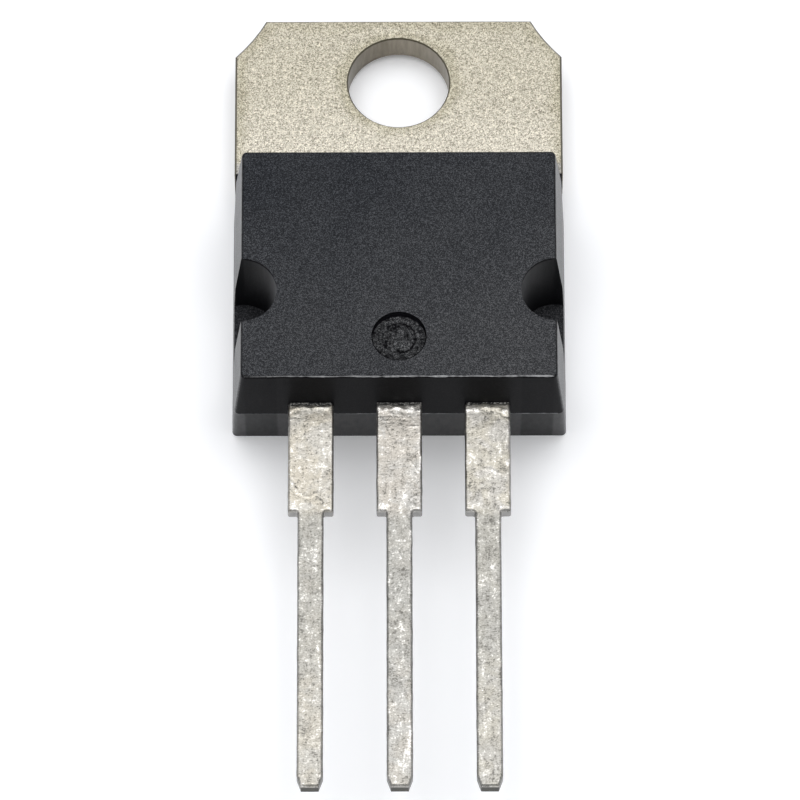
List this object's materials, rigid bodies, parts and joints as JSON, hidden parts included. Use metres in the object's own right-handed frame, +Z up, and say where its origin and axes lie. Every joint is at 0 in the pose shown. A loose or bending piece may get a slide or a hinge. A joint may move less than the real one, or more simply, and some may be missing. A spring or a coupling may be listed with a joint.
{
  "type": "power transistor",
  "caption": "Through-hole power transistor: black moulded body on a metal cooling tab with a screw hole, and a row of flat tinned leads.",
  "frame": {"origin": "centre of the mounting hole in the plane of the tab's back face", "axes": "+X across the package, +Y along the part towards the free end of the tab (the leads point along -Y), +Z up out of the back face through the moulding"},
  "size_m": [0.01, 0.0269, 0.0044],
  "materials": {
    "plated_copper": "matte nickel plating on a copper stamping, sandy and slightly sparkling",
    "tinned_lead": "solder-dipped, silvery and mottled",
    "moulding": "matte black moulding compound",
    "silicon": "polished grey silicon",
    "soft_solder": "dull grey solder",
    "bond_wire": "bright drawn aluminium wire"
  },
  "bodies": {
    "root": {"collector_frame": "plated_copper", "base_lead": "tinned_lead", "emitter_lead": "tinned_lead", "silicon_die": "silicon", "die_solder": "soft_solder", "base_bond_wire": "bond_wire", "emitter_bond_wire_inner": "bond_wire", "emitter_bond_wire_outer": "bond_wire", "moulded_body": "moulding"}
  },
  "joints": []
}
